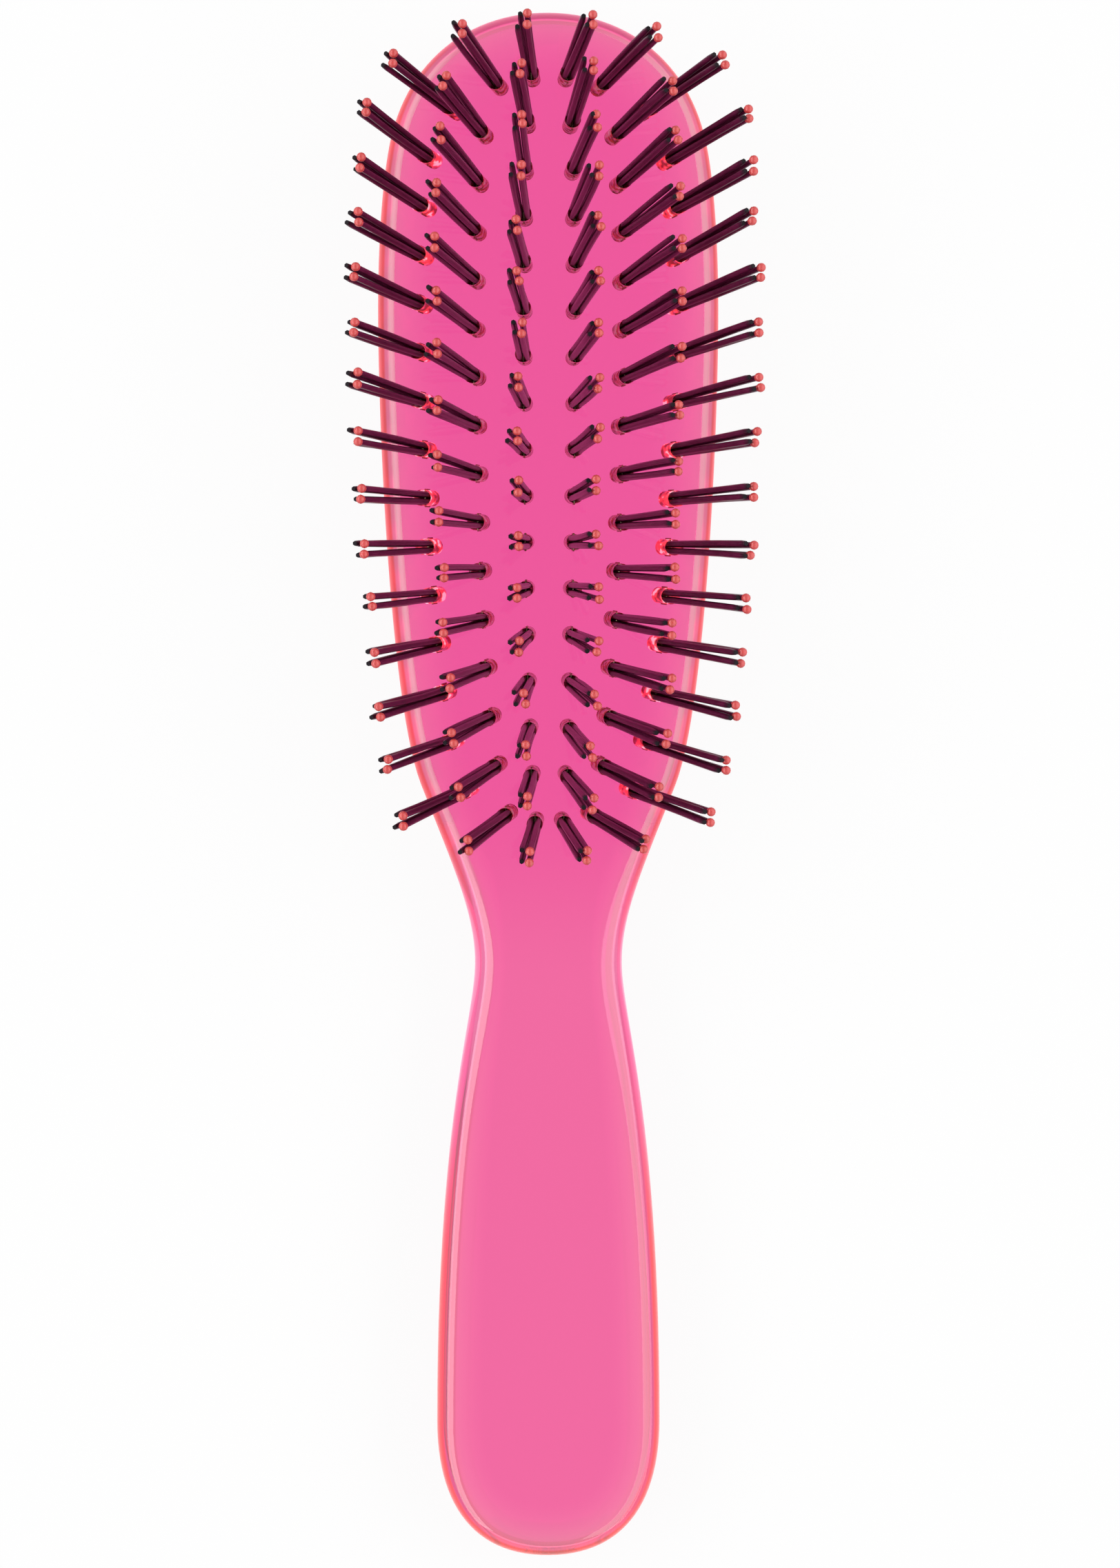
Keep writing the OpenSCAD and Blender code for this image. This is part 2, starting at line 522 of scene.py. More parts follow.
@dataclass(frozen=True)
class AcrylicFinish:
    """Clear acrylic with a fluorescent pink dye, whose edge gets painted light: a coral glow on
    its rim.

    The ranges of the head and the handle are places along the brush. The others are shares of
    the way from the flats to the rim of the edge, which has a painted shade band and, further in,
    a painted pale highlight strip.
    """

    name: str = "pink_acrylic"
    refraction: float = 1.49
    clarity: float = 1.0
    polish: float = 0.0
    dye: Colour = (0.985, 0.075, 0.900)
    dye_density: float = 200.0
    head_range: Span = (-30.0, 0.0)
    handle_range: Span = (-40.0, -70.0)
    handle_tint: Colour = (1.0, 1.0, 0.49)
    head_tint: Colour = (0.98, 0.65, 0.455)
    # Painted light in the edge's base colour: a pale highlight strip, a darker shade band, and a
    # coral tint for the rim's painted glow.
    strip_range: Span = (0.06, 0.38)
    strip_tint: Colour = (0.85, 1.0, 0.70)
    edge_from: float = 0.47
    edge_tint: Colour = (0.42, 0.30, 0.36)
    rim_range: Span = (0.56, 0.70)
    painted_glow_tint: Colour = (0.46, 0.13, 0.12)
    haze_range: Span = (0.0, 0.03)
    head_edge_roughness: float = 0.3
    # Emission that paints light: a faint glow on the head's highlight strip, a coral glow on the
    # rim, and extra light on the sides and the ends.
    glow_range: Span = (0.0, 0.1)
    head_strip_glow: Colour = (0.0, 0.085, 0.05)
    edge_glow_range: Span = (0.33, 0.43)
    handle_edge_glow: Colour = (0.24, 0.08, 0.14)
    head_edge_glow: Colour = (0.46, 0.10, 0.20)
    handle_end_glow: Colour = (0.68, 0.14, 0.24)
    head_end_glow: Colour = (0.45, 0.03, 0.15)
    rim_glow_range: Span = (0.58, 0.73)
    handle_rim_glow: Colour = (0.52, 0.05, 0.04)
    neck_rim_glow: Colour = (0.42, 0.10, 0.20)
    head_rim_glow: Colour = (0.40, 0.01, 0.02)
    chatter_scale: float = 900.0
    chatter_detail: float = 1.0
    chatter_depth: float = 0.5
    # The first three colours below paint shade, red and pale glints on the holes' walls, and the
    # last stops paint their red glow and glints as emission.
    painted_hole_shade: Colour = (0.20, 0.002, 0.015)
    painted_hole_red: Colour = (0.58, 0.004, 0.03)
    drilled_light: Colour = (1.0, 0.44, 0.50)
    drilled_sheen: Colour = (0.65, 0.02, 0.08)
    drilled_roughness: float = 0.12
    drilled_clarity: float = 0.2
    caught_glow: Stops = (
        (0.40, (0.16, 0.0, 0.01)),
        (0.54, (0.95, 0.05, 0.08)),
        (0.60, (0.95, 0.05, 0.08)),
        (0.66, (1.0, 0.55, 0.75)),
    )

    def masks(self, board: NodeBoard) -> BodyMasks:
        """Reads the places on the body's surface.

        Args:
            board: The material's nodes.

        Returns:
            The values that tell them apart.
        """
        along = board.place(Axis.ALONG)
        return BodyMasks(
            in_head=board.risen(along, in_metres(self.head_range)),
            in_handle=board.risen(along, in_metres(self.handle_range)),
            near_rim=board.attribute(Mark.NEAR_RIM),
            at_end=board.attribute(Mark.AT_END),
            drilled=board.attribute(Mark.DRILLED),
            caught=board.attribute(Mark.CAUGHT),
            chatter_and_glints=board.noise(self.chatter_scale, self.chatter_detail),
        )

    def tint(self, board: NodeBoard, on: BodyMasks) -> Socket:
        """Mixes the colour of the skin, the painted highlight strip, shade band and coral rim of
        its edge, and the painted shade and glints of the holes.

        Args:
            board: The material's nodes.
            on: The places on the surface.

        Returns:
            The colour.
        """
        flat = board.mixed(on.in_head, self.handle_tint, self.head_tint)
        # The edge ramp paints a pale highlight strip and a darker shade band, and the rim a coral
        # glow tint.
        strip_start, strip_end = self.strip_range
        stops = (
            (0.0, WHITE),
            (strip_start, self.strip_tint),
            (strip_end, self.strip_tint),
            (self.edge_from, self.edge_tint),
        )
        coral = board.larger(on.in_head, on.in_handle)
        rim = board.mixed(coral, self.edge_tint, self.painted_glow_tint)
        at_rim = board.risen(on.near_rim, self.rim_range)
        edge = board.mixed(at_rim, board.ramp(on.near_rim, stops), rim)
        # Painted shade and painted glints on the holes' walls, placed by the drill-mark noise and
        # the painted light share.
        painted_glint = board.mixed(on.caught, self.painted_hole_red, self.drilled_light)
        bore = board.mixed(on.chatter_and_glints, self.painted_hole_shade, painted_glint)
        return board.mixed(on.drilled, board.tinted(flat, edge), bore)

    def roughness(self, board: NodeBoard, on: BodyMasks) -> Socket:
        """Mixes the polish of the skin with the rougher holes and the haze on the head's edge.

        Args:
            board: The material's nodes.
            on: The places on the surface.

        Returns:
            The roughness.
        """
        bore = board.mapped(on.drilled, (self.polish, self.drilled_roughness))
        haze = board.times(on.in_head, board.risen(on.near_rim, self.haze_range))
        return board.larger(bore, board.mapped(haze, (self.polish, self.head_edge_roughness)))

    def glow(self, board: NodeBoard, on: BodyMasks) -> Socket:
        """Mixes the painted light that the edge gives off, coral on its rim, and the painted red
        glow of the holes.

        Args:
            board: The material's nodes.
            on: The places on the surface.

        Returns:
            The colour of the light.
        """
        strip = board.mixed(on.in_head, BLACK, self.head_strip_glow)
        side = board.mixed(on.in_head, self.handle_edge_glow, self.head_edge_glow)
        end = board.mixed(on.in_head, self.handle_end_glow, self.head_end_glow)
        inner = board.mixed(on.at_end, strip, BLACK)
        outer = board.mixed(on.at_end, side, end)
        edge = board.mixed(board.risen(on.near_rim, self.edge_glow_range), inner, outer)
        upper_rim = board.mixed(on.in_head, self.neck_rim_glow, self.head_rim_glow)
        end_rim = board.mixed(on.at_end, upper_rim, end)
        rim = board.mixed(on.in_handle, end_rim, self.handle_rim_glow)
        light = board.mixed(board.risen(on.near_rim, self.rim_glow_range), edge, rim)
        return board.mixed(on.drilled, light, board.ramp(on.chatter_and_glints, self.caught_glow))

    def material(self) -> bpy.types.Material:
        """Builds the acrylic.

        Returns:
            The material.
        """
        board = NodeBoard(self.name)
        shader = board.principled(IOR=self.refraction, Transmission_Weight=self.clarity)
        on = self.masks(board)
        board.feed(
            shader,
            Base_Color=self.tint(board, on),
            Roughness=self.roughness(board, on),
            Transmission_Weight=board.mapped(on.drilled, (self.clarity, self.drilled_clarity)),
            Specular_Tint=board.mixed(on.drilled, WHITE, self.drilled_sheen),
            # The emission is painted light: the glow of the edge and the red glints of the holes.
            Emission_Color=self.glow(board, on),
            Emission_Strength=board.larger(board.risen(on.near_rim, self.glow_range), on.caught),
        )
        board.bump(shader, board.times(on.chatter_and_glints, on.drilled), self.chatter_depth)
        absorb = board.add("ShaderNodeVolumeAbsorption")
        board.put(self.dye, absorb.inputs["Color"])
        absorb.inputs["Density"].default_value = self.dye_density
        board.link(absorb.outputs["Volume"], board.output.inputs["Volume"])
        return board.material


@dataclass(frozen=True)
class GrainedFinish:
    """A finish whose colour, roughness and bumps follow one fine grain."""

    name: str
    deep: Colour
    light: Colour
    grain_scale: float
    grain_detail: float
    grain_depth: float
    roughness: Span

    def constants(self) -> dict[str, float]:
        """Gives the values that are the same all over, by socket name."""
        return {}

    def dress(self, board: NodeBoard, shader: Node, grain: Socket) -> None:
        """Gives the shader its colour and roughness.

        Args:
            board: The material's nodes.
            shader: The shader.
            grain: The grain from 0 to 1.
        """
        board.feed(
            shader,
            Base_Color=board.mixed(grain, self.deep, self.light),
            Roughness=board.mapped(grain, self.roughness),
        )

    def material(self) -> bpy.types.Material:
        """Builds the finish.

        Returns:
            The material.
        """
        board = NodeBoard(self.name)
        shader = board.principled(**self.constants())
        grain = board.noise(self.grain_scale, self.grain_detail)
        self.dress(board, shader, grain)
        board.bump(shader, grain, self.grain_depth)
        return board.material


@dataclass(frozen=True)
class NylonFinish(GrainedFinish):
    """Dark plum nylon strand, streaked, with painted shade at its root and near-black at its cut
    end.
    """

    name: str = "plum_nylon"
    deep: Colour = (0.038, 0.002, 0.014)
    light: Colour = (0.125, 0.010, 0.046)
    grain_scale: float = 700.0
    grain_detail: float = 1.0
    grain_depth: float = 0.001
    roughness: Span = (0.26, 0.36)
    refraction: float = 1.53
    sheen: Colour = (0.98, 0.26, 0.60)
    # Painted shade at the root: a darker colour and a duller sheen near the face.
    root_shade_range: Span = (10.0, 12.8)
    root: Colour = (0.022, 0.001, 0.005)
    root_shade_sheen: Colour = (0.40, 0.06, 0.16)
    cut: Colour = (0.010, 0.008, 0.010)
    cut_sheen: Colour = (0.10, 0.08, 0.10)
    cut_roughness: float = 0.6

    def constants(self) -> dict[str, float]:
        """Gives the values that are the same all over, by socket name."""
        return {"IOR": self.refraction}

    def dress(self, board: NodeBoard, shader: Node, grain: Socket) -> None:
        """Gives the shader its colour, sheen and roughness, with painted shade near the root.

        Args:
            board: The material's nodes.
            shader: The shader.
            grain: The streaks from 0 to 1.
        """
        # Painted shade: the strand darkens and its sheen dulls near its root.
        clear = board.risen(board.place(Axis.UP), in_metres(self.root_shade_range))
        cut = board.attribute(Mark.CUT)
        plum = board.mixed(clear, self.root, board.mixed(grain, self.deep, self.light))
        sheen = board.mixed(clear, self.root_shade_sheen, self.sheen)
        drawn = board.mapped(grain, self.roughness)
        board.feed(
            shader,
            Base_Color=board.mixed(cut, plum, self.cut),
            Specular_Tint=board.mixed(cut, sheen, self.cut_sheen),
            Roughness=board.larger(drawn, board.mapped(cut, (0.0, self.cut_roughness))),
        )


@dataclass(frozen=True)
class ResinFinish(GrainedFinish):
    """Coral resin bead, slightly cloudy and a little translucent."""

    name: str = "coral_resin"
    deep: Colour = (0.69, 0.067, 0.066)
    light: Colour = (0.86, 0.096, 0.093)
    grain_scale: float = 700.0
    grain_detail: float = 2.0
    grain_depth: float = 0.003
    roughness: Span = (0.3, 0.42)
    refraction: float = 1.5
    clarity: float = 0.2
    cloudiness: float = 0.15
    cloud_reach: float = 0.4

    def constants(self) -> dict[str, float]:
        """Gives the values that are the same all over, by socket name.

        Returns:
            The values.
        """
        return {
            "IOR": self.refraction,
            "Transmission_Weight": self.clarity,
            "Subsurface_Weight": self.cloudiness,
            "Subsurface_Scale": self.cloud_reach * MM,
        }


@dataclass(frozen=True)
class StripMetalFinish(GrainedFinish):
    """Rolled metal strip with fine drawn lines."""

    name: str = "rolled_strip_metal"
    deep: Colour = (0.30, 0.20, 0.13)
    light: Colour = (0.52, 0.38, 0.26)
    grain_scale: float = 4000.0
    grain_detail: float = 2.0
    grain_depth: float = 0.01
    roughness: Span = (0.15, 0.35)

    def constants(self) -> dict[str, float]:
        """Gives the values that are the same all over, by socket name."""
        return {"Metallic": 1.0}


@dataclass(frozen=True)
class Station:
    """A point on the right side of the body's outline, with the curve's arms on both sides.

    The heading is in degrees off straight down the brush, positive towards the right.
    """

    half_width: float
    y: float
    heading: float
    arm_before: float
    arm_after: float

    def reached(self, arm: float) -> Vector:
        """Gives the point that an arm reaches, negative against the heading."""
        turn = math.radians(self.heading)
        return Vector((self.half_width + arm * math.sin(turn), self.y - arm * math.cos(turn), 0.0))

    def knot(self) -> Vector:
        """Gives the station's own point."""
        return self.reached(0.0)

    def before(self) -> Vector:
        """Gives the end of the arm on the side of the head."""
        return self.reached(-self.arm_before)

    def after(self) -> Vector:
        """Gives the end of the arm on the side of the handle."""
        return self.reached(self.arm_after)


def mirrored(point: Vector) -> Vector:
    """Gives a point on the other side of the brush."""
    return Vector((-point.x, point.y, point.z))


@dataclass(frozen=True)
class Outline:
    """The body's outline, seen from above: a long head, a slim neck and a waisted handle."""

    half_length: float = 110.0
    stations: tuple[Station, ...] = (
        Station(0.0, 110.0, 90.0, 11.8, 11.8),
        Station(22.6, 91.4, 11.6, 11.4, 6.0),
        Station(24.3, 67.7, 0.0, 8.4, 17.5),
        Station(18.2, 0.0, -21.3, 11.7, 12.3),
        Station(10.5, -25.4, 0.0, 7.0, 8.0),
        Station(15.9, -90.7, 0.0, 44.0, 12.3),
        Station(0.0, -110.0, -90.0, 10.5, 10.5),
    )
    steps_between: int = 26
    table_steps: int = 60

    @cache
    def widths(self) -> tuple[list[float], list[float]]:
        """Samples the right side.

        Returns:
            The places along the brush from the handle up, and the half width at each.
        """
        points: list[Vector] = []
        for upper, lower in zip(self.stations, self.stations[1:]):
            curve = (upper.knot(), upper.after(), lower.before(), lower.knot())
            points.extend(interpolate_bezier(*curve, self.table_steps))
        points.reverse()
        return [p.y for p in points], [p.x for p in points]

    def half_width(self, y: float) -> float:
        """Gives the half width of the body at a place along it.

        Args:
            y: The place along the brush.

        Returns:
            The half width there.
        """
        places, widths = self.widths()
        after = min(max(bisect_left(places, y), 1), len(places) - 1)
        gap = places[after] - places[after - 1]
        share = (y - places[after - 1]) / gap if gap else 0.0
        return widths[after - 1] + share * (widths[after] - widths[after - 1])

    def draw(self, name: str) -> Piece:
        """Draws the outline as a closed curve and makes it a loop of edges.

        Args:
            name: The name of the loop.

        Returns:
            The loop, clockwise from the top of the head as seen from above.
        """
        clear_selection()
        bpy.ops.curve.primitive_bezier_circle_add(radius=self.half_length * MM)
        loop = fresh_primitive(name)
        down = [(s.before(), s.knot(), s.after()) for s in self.stations]
        up = [tuple(mirrored(p) for p in reversed(arms)) for arms in reversed(down[1:-1])]
        around = down + up
        points = loop.data.splines[0].bezier_points
        points.add(len(around) - len(points))
        for point, (before, knot, after) in zip(points, around):
            point.handle_left_type = "FREE"
            point.handle_right_type = "FREE"
            point.co = knot * MM
            point.handle_left = before * MM
            point.handle_right = after * MM
        loop.data.resolution_u = self.steps_between
        bpy.ops.object.convert(target="MESH")
        return bpy.context.object


@dataclass(frozen=True)
class Tuft:
    """One tuft: where its mouth lies, how it leans, and how its legs stray."""

    mouth: Vector
    lean_across: float
    lean_along: float
    seed: int

    def frame(self) -> Matrix:
        """Gives the way from the tuft's own frame, with its axis along Z, to the brush's."""
        turn = Euler((-self.lean_along, self.lean_across, 0.0), "XYZ")
        return Matrix.Translation(self.mouth) @ turn.to_matrix().to_4x4()


@dataclass(frozen=True)
class TuftLayout:
    """Where the tufts stand on the bristle face, and how they fan out. Leans are in degrees."""

    outline: Outline
    counts: tuple[int, int, int] = (17, 16, 15)
    first: tuple[float, float, float] = (9.1, 10.4, 14.0)
    last: tuple[float, float, float] = (115.7, 114.6, 111.1)
    share: tuple[float, float, float] = (0.2, 0.585, 1.0)
    edge_margin: float = 5.3
    first_draw_in: tuple[float, float, float] = (0.0, 0.4, 1.5)
    face_height: float = 10.0
    column_lean: tuple[float, float, float] = (6.0, 19.0, 30.0)
    end_lean: float = 14.0
    fan_middle: float = 66.5
    fan_reach: float = 70.0
    column_seed: int = 1000
    side_seed: int = 100

    def column(self, side: Side, column: Column) -> list[Tuft]:
        """Lays out one column.

        Args:
            side: The half of the brush.
            column: The column, counted out from the middle.

        Returns:
            Its tufts, from the top of the head down.
        """
        at = column.value
        pitch = (self.last[at] - self.first[at]) / (self.counts[at] - 1)
        seed = self.column_seed * (at + 1) + self.side_seed * side.value
        tufts = []
        for index in range(self.counts[at]):
            down = self.first[at] + index * pitch
            y = self.outline.half_length - down
            x = self.share[at] * (self.outline.half_width(y) - self.edge_margin)
            if index == 0:
                x -= self.first_draw_in[at]
            swing = math.sin(math.pi / 2.0 * (self.fan_middle - down) / self.fan_reach)
            tufts.append(
                Tuft(
                    mouth=mm(side.value * x, y, self.face_height),
                    lean_across=math.radians(side.value * self.column_lean[at]),
                    lean_along=math.radians(self.end_lean * swing),
                    seed=seed + index,
                )
            )
        return tufts

    def every(self) -> list[Tuft]:
        """Lists the tufts of all the columns."""
        return [tuft for place in product(Side, Column) for tuft in self.column(*place)]


@dataclass
class Body:
    """The one-piece acrylic body: a flat bristle face, a rounded edge and a domed back."""

    outline: Outline
    layout: TuftLayout
    finish: AcrylicFinish
    thickness: float = 10.0
    edge_height: float = 6.0
    head_front_round: float = 2.7
    neck_front_round: float = 3.7
    handle_front_round: float = 3.0
    front_cut: float = 0.03
    back_round_share: float = 0.57
    back_cut: float = 0.25
    head_end: float = 0.0
    neck_start: float = -30.4
    neck_end: float = -50.4
    widest_head: float = 67.7
    widest_handle: float = -90.7
    edge_steps: int = 12
    smooth_angle: float = 30.0
    hole_d: float = 2.3
    hole_depth: float = 3.2
    hole_sides: int = 20
    wall_reach: float = 0.55
    front_glow_reach: float = 2.6
    back_glow_reach: float = 0.15
    end_turn: Span = (0.5, 0.95)
    end_glow_lift: float = 0.25
    # How much painted light the holes get, by how far their tufts lean.
    caught_lean: Span = (15.0, 30.0)
    least_caught: float = 0.12

    def front_round(self, y: float) -> float:
        """Gives how far the front edge rounds in.

        Args:
            y: The place along the brush.

        Returns:
            How far in from the outline the rounding reaches there.
        """
        if y > self.neck_start:
            end, end_round = self.head_end, self.head_front_round
        else:
            end, end_round = self.neck_end, self.handle_front_round
        share = blend_between((self.neck_start, end), y)
        return self.neck_front_round + share * (end_round - self.neck_front_round)

    def back_round(self, y: float) -> float:
        """Gives how far the edge of the back rounds in at a place along the brush."""
        middle = min(max(y, self.widest_handle), self.widest_head)
        return self.back_round_share * self.outline.half_width(middle)

    def rise(self, angle: float) -> float:
        """Gives the height of the quarter ellipse of the back or front edge, past its flat cut."""
        front = self.thickness - self.edge_height + self.front_cut
        return self.edge_height + self.back_cut if angle < 0.0 else front

    def edge_angles(self) -> list[float]:
        """Spaces the rings of the skin from the flat back, round the edge, to the flat face.

        Returns:
            Angles round the edge, 0 at its widest line.
        """
        back = -math.asin(self.edge_height / self.rise(-1.0))
        front = math.asin((self.thickness - self.edge_height) / self.rise(1.0))
        below = [back * (1.0 - k / self.edge_steps) for k in range(self.edge_steps)]
        above = [front * k / self.edge_steps for k in range(self.edge_steps + 1)]
        return below + above

    def lay_ring(self, mesh: bpy.types.Mesh, outline: Sequence[Vector], angle: float) -> None:
        """Moves the selected ring of the skin to its place.

        Args:
            mesh: The body's mesh, in edit mode.
            outline: The points of the outline, in millimetres.
            angle: Where on the edge, in radians up from its widest line.
        """
        work = bmesh.from_edit_mesh(mesh)
        station = work.verts.layers.int[Mark.STATION.value]
        glow = work.verts.layers.float[Mark.NEAR_RIM.value]
        end = work.verts.layers.float[Mark.AT_END.value]
        glow_reach = self.back_glow_reach if angle < 0.0 else self.front_glow_reach
        rounded = 1.0 - math.cos(self.edge_angles()[-1])
        z = self.edge_height + self.rise(angle) * math.sin(angle)
        for vert in work.verts:
            if not vert.select:
                continue
            at = vert[station]
            here = outline[at]
            step = outline[(at + 1) % len(outline)] - outline[at - 1]
            inward = Vector((step.y, -step.x, 0.0)).normalized()
            reach = self.back_round(here.y) if angle < 0.0 else self.front_round(here.y)
            inset = reach * (1.0 - math.cos(angle))
            place = here + inward * inset
            vert.co = mm(place.x, place.y, z)
            near_rim = max(1.0 - inset / min(glow_reach, rounded * reach), 0.0)
            vert[end] = blend_between(self.end_turn, abs(inward.y))
            vert[glow] = near_rim ** (1.0 - self.end_glow_lift * vert[end])
        bmesh.update_edit_mesh(mesh)

    def mould(self) -> Piece:
        """Builds the undrilled body by extruding its outline round the edge.

        Returns:
            The closed body.
        """
        body = self.outline.draw("acrylic_body")
        mesh = body.data
        outline = [vert.co / MM for vert in mesh.vertices]
        mesh.attributes.new(Mark.STATION.value, "INT", "POINT")
        mesh.attributes[Mark.STATION.value].data.foreach_set("value", range(len(outline)))
        for mark in (Mark.NEAR_RIM, Mark.AT_END):
            mesh.attributes.new(mark.value, "FLOAT", "POINT")
        first, *others = self.edge_angles()
        with editing(body):
            bpy.ops.mesh.select_all(action="SELECT")
            self.lay_ring(mesh, outline, first)
            bpy.ops.mesh.edge_face_add()
            for angle in others:
                bpy.ops.mesh.extrude_region_move()
                self.lay_ring(mesh, outline, angle)
        face_outwards(body)
        return body

    def drill_tool(self) -> Piece:
        """Models the cutter of one tuft's hole, in the tuft's own frame.

        Returns:
            The cutter, which stands out of the mouth as far as it goes in.
        """
        clear_selection()
        bpy.ops.mesh.primitive_cylinder_add(
            vertices=self.hole_sides,
            radius=self.hole_d / 2.0 * MM,
            depth=2.0 * self.hole_depth * MM,
        )
        return fresh_primitive("drill_tool")

    def drill(self, body: Piece) -> None:
        """Cuts all the tufts' holes.

        Args:
            body: The body that is drilled.
        """
        tool = self.drill_tool()
        cutters = []
        for tuft in self.layout.every():
            cutter = copied(tool, "tuft_cutter")
            cutter.data.transform(tuft.frame())
            cutters.append(cutter)
        gang = joined(cutters, "gang_of_cutters")
        cut = body.modifiers.new("drilled", "BOOLEAN")
        cut.operation = "DIFFERENCE"
        cut.solver = "EXACT"
        cut.object = gang
        take_up(body)
        bpy.ops.object.modifier_apply(modifier=cut.name)
        discard(gang)
        discard(tool)

    def mark_drilled(self, body: Piece) -> None:
        """Marks the walls and bottoms of the holes, which the drill leaves rough.

        A second mark says how much painted light, in base colour and glow, a hole gets, which is
        most where it leans out.

        Args:
            body: The drilled body.
        """
        marks = body.data.attributes
        for mark in (Mark.DRILLED, Mark.CAUGHT):
            marks.new(mark.value, "FLOAT", "FACE")
        drilled = marks[Mark.DRILLED.value].data
        caught = marks[Mark.CAUGHT.value].data
        ways = [(tuft, tuft.frame().inverted()) for tuft in self.layout.every()]
        limit = (self.wall_reach * self.hole_d * MM) ** 2
        for index, face in enumerate(body.data.polygons):
            if abs(face.normal.z) > LEVEL:
                continue
            for tuft, way in ways:
                if (way @ face.center).xy.length_squared > limit:
                    continue
                lean = math.degrees(abs(tuft.lean_across))
                drilled[index].value = 1.0
                caught[index].value = max(blend_between(self.caught_lean, lean), self.least_caught)

    def crisp_flats(self, body: Piece) -> None:
        """Marks the rims of the flat face and the flat back as sharp, so that they stay level.

        Args:
            body: The drilled body.
        """
        with editing(body):
            bpy.ops.mesh.select_mode(type="EDGE")
            bpy.ops.mesh.select_all(action="DESELECT")
            work = bmesh.from_edit_mesh(body.data)
            for edge in work.edges:
                flats = [abs(side.normal.z) > LEVEL for side in edge.link_faces]
                edge.select_set(any(flats) and not all(flats))
            bmesh.update_edit_mesh(body.data)
            bpy.ops.mesh.mark_sharp()
            bpy.ops.mesh.select_mode(type="VERT")

    def build(self) -> Piece:
        """Moulds, drills and dresses the body.

        Returns:
            The finished body.
        """
        body = self.mould()
        self.drill(body)
        self.mark_drilled(body)
        shade_smooth(body, self.smooth_angle)
        self.crisp_flats(body)
        body.data.materials.clear()
        body.data.materials.append(self.finish.material())
        fit_to_frame(body, ["body"])
        return body


@dataclass(frozen=True)
class Wander:
    """How far one leg of a strand strays from its straight place, in millimetres."""

    tip_across: float
    tip_along: float
    length: float
    bow_across: float
    bow_along: float


@dataclass(frozen=True)
class TuftShape:
    """The sizes inside one tuft, and how far its legs stray from their straight places."""

    height: float = 18.0
    hole_depth: float = 3.2
    strand_d: float = 0.9
    root_across: float = 0.5
    root_along: float = 0.45
    tip_across: float = 0.55
    tip_along: float = 0.66
    leg_stray: float = 0.13
    tuft_stray: float = 0.18
    length_stray: float = 0.4
    tipped_share: float = 0.3
    bow_stray: float = 0.06
    bow_range: Span = (-2.0, 8.0)
    leg_heights: tuple[float, ...] = (0.0, 6.0, 12.0)
    cut_length: float = 1.1
    tuft_seed: int = 10
    strand_seed: int = 3

    def wander(self, tuft: Tuft, place: StrandPlace, side: Side) -> Wander:
        """Picks how one leg strays, the same on each run.

        Args:
            tuft: The tuft.
            place: The strand.
            side: The leg: bare on the left, tipped on the right.

        Returns:
            The straying.
        """
        whole = random.Random(tuft.seed)
        leg_seed = self.tuft_seed * tuft.seed + self.strand_seed * place.value + side.value
        dice = random.Random(leg_seed)
        apart = place.value * abs(dice.gauss(0.0, self.leg_stray))
        return Wander(
            tip_across=whole.gauss(0.0, self.tuft_stray) + dice.gauss(0.0, self.leg_stray),
            tip_along=whole.gauss(0.0, self.tuft_stray) + apart,
            length=dice.gauss(0.0, self.length_stray),
            bow_across=dice.gauss(0.0, self.bow_stray),
            bow_along=dice.gauss(0.0, self.bow_stray),
        )

    def leg(self, tuft: Tuft, place: StrandPlace, side: Side) -> list[Vector]:
        """Lays one leg of a strand from its fold to its end, in the tuft's own frame.

        Args:
            tuft: The tuft.
            place: The strand.
            side: The leg: bare on the left, tipped on the right.

        Returns:
            Points along the middle of the leg, in millimetres.
        """
        stray = self.wander(tuft, place, side)
        longer = stray.length if side is Side.LEFT else self.tipped_share * stray.length
        fold = self.strand_d / 2.0 - self.hole_depth
        root = Vector((side.value * self.root_across, place.value * self.root_along, fold))
        tip = Vector(
            (
                side.value * self.tip_across + stray.tip_across,
                place.value * self.tip_along + stray.tip_along,
                self.height + longer,
            )
        )
        points = [root]
        for height in (*self.leg_heights, tip.z - self.cut_length, tip.z):
            share = (height - root.z) / (tip.z - root.z)
            bow = 4.0 * share * (1.0 - share) * blend_between(self.bow_range, height)
            swing = Vector((stray.bow_across, stray.bow_along, 0.0)) * bow
            points.append(root.lerp(tip, share) + swing)
        return points

    def strand(self, tuft: Tuft, place: StrandPlace) -> list[Vector]:
        """Lays a whole strand from its bare end, round the fold, to its tipped end.

        Args:
            tuft: The tuft.
            place: The strand.

        Returns:
            Points along its middle, in metres in the brush's frame.
        """
        bare = self.leg(tuft, place, Side.LEFT)
        tipped = self.leg(tuft, place, Side.RIGHT)
        way = tuft.frame()
        return [way @ (point * MM) for point in [*reversed(bare), *tipped]]


@dataclass
class TuftColumn(ABC):
    """One kind of thing in all the tufts of a column, modelled once and copied.

    The kind names the piece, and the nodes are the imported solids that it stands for.
    """

    shape: TuftShape
    side: Side
    column: Column
    tufts: Sequence[Tuft]
    finish: bpy.types.Material
    kind: str
    slot: str
    nodes: tuple[str, ...]
    smooth_angle: float

    @abstractmethod
    def master(self) -> Piece:
        """Models the thing once."""

    @abstractmethod
    def placed(self, master: Piece) -> list[Piece]:
        """Puts copies of the master in all the tufts."""

    def build(self) -> Piece:
        """Copies, joins and dresses the things of the column.

        Returns:
            The finished piece.
        """
        label = f"{self.side.name}_{self.column.name}".lower()
        master = self.master()
        piece = joined(self.placed(master), f"{label}_{self.kind}")
        discard(master)
        face_outwards(piece)
        shade_smooth(piece, self.smooth_angle)
        piece.data.materials.append(self.finish)
        fit_to_frame(piece, [f"{label}_{node}" for node in self.nodes])
        return piece


